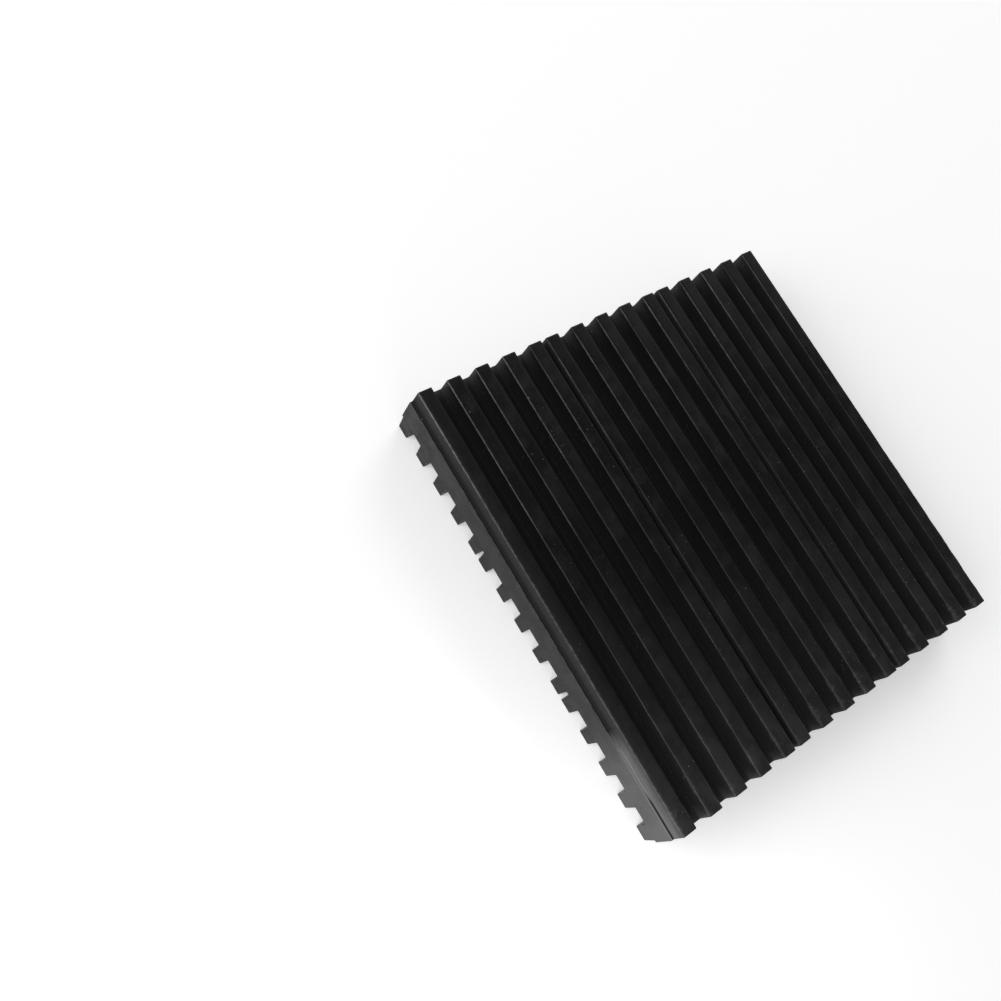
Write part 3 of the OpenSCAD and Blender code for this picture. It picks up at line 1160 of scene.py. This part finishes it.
# Painted light: the cut side is painted paler towards the near left corner.
painted_corner_light = minus(core, spot["X"], spot["Y"])
painted_corner_light = ranged(core, painted_corner_light, CORNER_LIGHT_FROM, CORNER_LIGHT_TO, blend="SMOOTHSTEP")
painted_corner_light = product(core, painted_corner_light, ranged(core, paler, *CORNER_LIGHT_SPAN, *CORNER_LIGHT_SHARE))
colour = mixed(core, painted_corner_light, colour, CORNER_LIGHT)
crumbs = effect(core, dust_tree, Vector=here, Spacing=2.2 * MM, Size=0.2 * MM, Share=0.16)["Specks"]
colour = mixed(core, product(core, crumbs, CRUMB_SHARE), colour, DUST)
plug(core, colour, shader["Base Color"])
roughness = maths(core, "MULTIPLY_ADD", texture["Grain"], CUT_GRAIN_ROUGHNESS, CUT_ROUGHNESS)
plug(core, roughness, shader["Roughness"])
relief = maths(core, "MULTIPLY_ADD", drag, DRAG_RELIEF, texture["Grain"])
bump = add_node(core, "ShaderNodeBump", {"Strength": 0.6, "Distance": 0.05 * MM, "Height": relief})
plug(core, bump.outputs[0], shader["Normal"])
print("finish:", cut.name, len(core.nodes), "nodes")

# %% [markdown]
# ## Making the pad
# The modifier runs the pad's tree. Its inputs are set by their identifiers, and new_from_object turns the
# result into a plain mesh. At this point the pad is two skins with nothing between them.

# %% Skins of both faces
carrier = bpy.data.objects.new("skin carrier", bpy.data.meshes.new("skin carrier"))
bpy.context.scene.collection.objects.link(carrier)
modifier = carrier.modifiers.new("Ribbed pad", "NODES")
modifier.node_group = pad_tree
wanted = {
    "Top Face Level": cad_high.z - TOP_RIB_H,
    "Bottom Face Level": cad_low.z + BOTTOM_RIB_H,
    "Rubber": moulded,
}
for item in pad_tree.interface.items_tree:
    if item.in_out == "INPUT":
        modifier[item.identifier] = wanted[item.name]
evaluated = carrier.evaluated_get(bpy.context.evaluated_depsgraph_get())
pad_mesh = bpy.data.meshes.new_from_object(evaluated)
carrier.modifiers.remove(modifier)
bpy.data.objects.remove(carrier)
pad_mesh.name = "rubber_pad"
pad_mesh.materials.clear()
for finish in (moulded, cut):
    pad_mesh.materials.append(finish)
print("skins:", len(pad_mesh.vertices), "points,", len(pad_mesh.polygons), "faces")

# %% [markdown]
# ## Cut sides
# The sides are flat cuts, each bounded by a straight edge from one face and a comb of rib ends from the
# other. A modelling tool that follows edges suits this better than nodes: bmesh walks the open edge of each
# skin along a side, and one face closes the outline between the two.


# %% Walking an open edge
def walk(edges):
    """The points of a chain of edges, in order, from one end to the other."""
    beside = {}
    for edge in edges:
        for first, second in (edge.verts, reversed(edge.verts)):
            beside.setdefault(first, []).append(second)
    start = next(point for point, others in beside.items() if len(others) == 1)
    chain = [start]
    while True:
        onward = [point for point in beside[chain[-1]] if len(chain) < 2 or point != chain[-2]]
        if not onward:
            return chain
        chain.append(onward[0])


bm = bmesh.new()
bm.from_mesh(pad_mesh)
open_edges = [edge for edge in bm.edges if edge.is_boundary]
print("open edges:", len(open_edges))

# %% Closing the sides
MOULDED = 0
CUT = 1
TOUCH = 0.001 * MM
CM3 = (10 * MM) ** 3

for face in bm.faces:
    face.material_index = MOULDED
mid_level = cad_low.z + BOTTOM_RIB_H + web_t / 2
for axis, sign in ((0, -1), (0, 1), (1, -1), (1, 1)):
    on_side = [e for e in open_edges if all(abs(v.co[axis] - sign * pad_half) < TOUCH for v in e.verts)]
    upper = walk([e for e in on_side if e.verts[0].co.z > mid_level])
    lower = walk([e for e in on_side if e.verts[0].co.z < mid_level])
    if (upper[0].co - lower[0].co).length > (upper[0].co - lower[-1].co).length:
        lower.reverse()
    side_face = bm.faces.new(upper + lower[::-1])
    side_face.material_index = CUT
    for edge in side_face.edges:
        edge.smooth = False
bmesh.ops.recalc_face_normals(bm, faces=bm.faces)
bmesh.ops.triangulate(bm, faces=[face for face in bm.faces if len(face.verts) > 4])
open_left = sum(not edge.is_manifold for edge in bm.edges)
print(f"pad: {bm.calc_volume() / CM3:.1f} cm3, {open_left} open edges")
bm.to_mesh(pad_mesh)
bm.free()

# %% [markdown]
# ## Into the frame
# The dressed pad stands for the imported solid, which is hidden, and rides on the part's only body. Its
# object stays at the origin, because the mesh is already in the frame's own place and size.

# %% Hand over
pad = bpy.data.objects.new("rubber_pad", pad_mesh)
bpy.context.scene.collection.objects.link(pad)
triangles = sum(len(face.vertices) - 2 for face in pad_mesh.polygons)
print("rubber_pad:", triangles, "triangles")

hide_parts("ribbed_pad")
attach(pad, "root")

bpy.context.scene.view_settings.view_transform = "Standard"
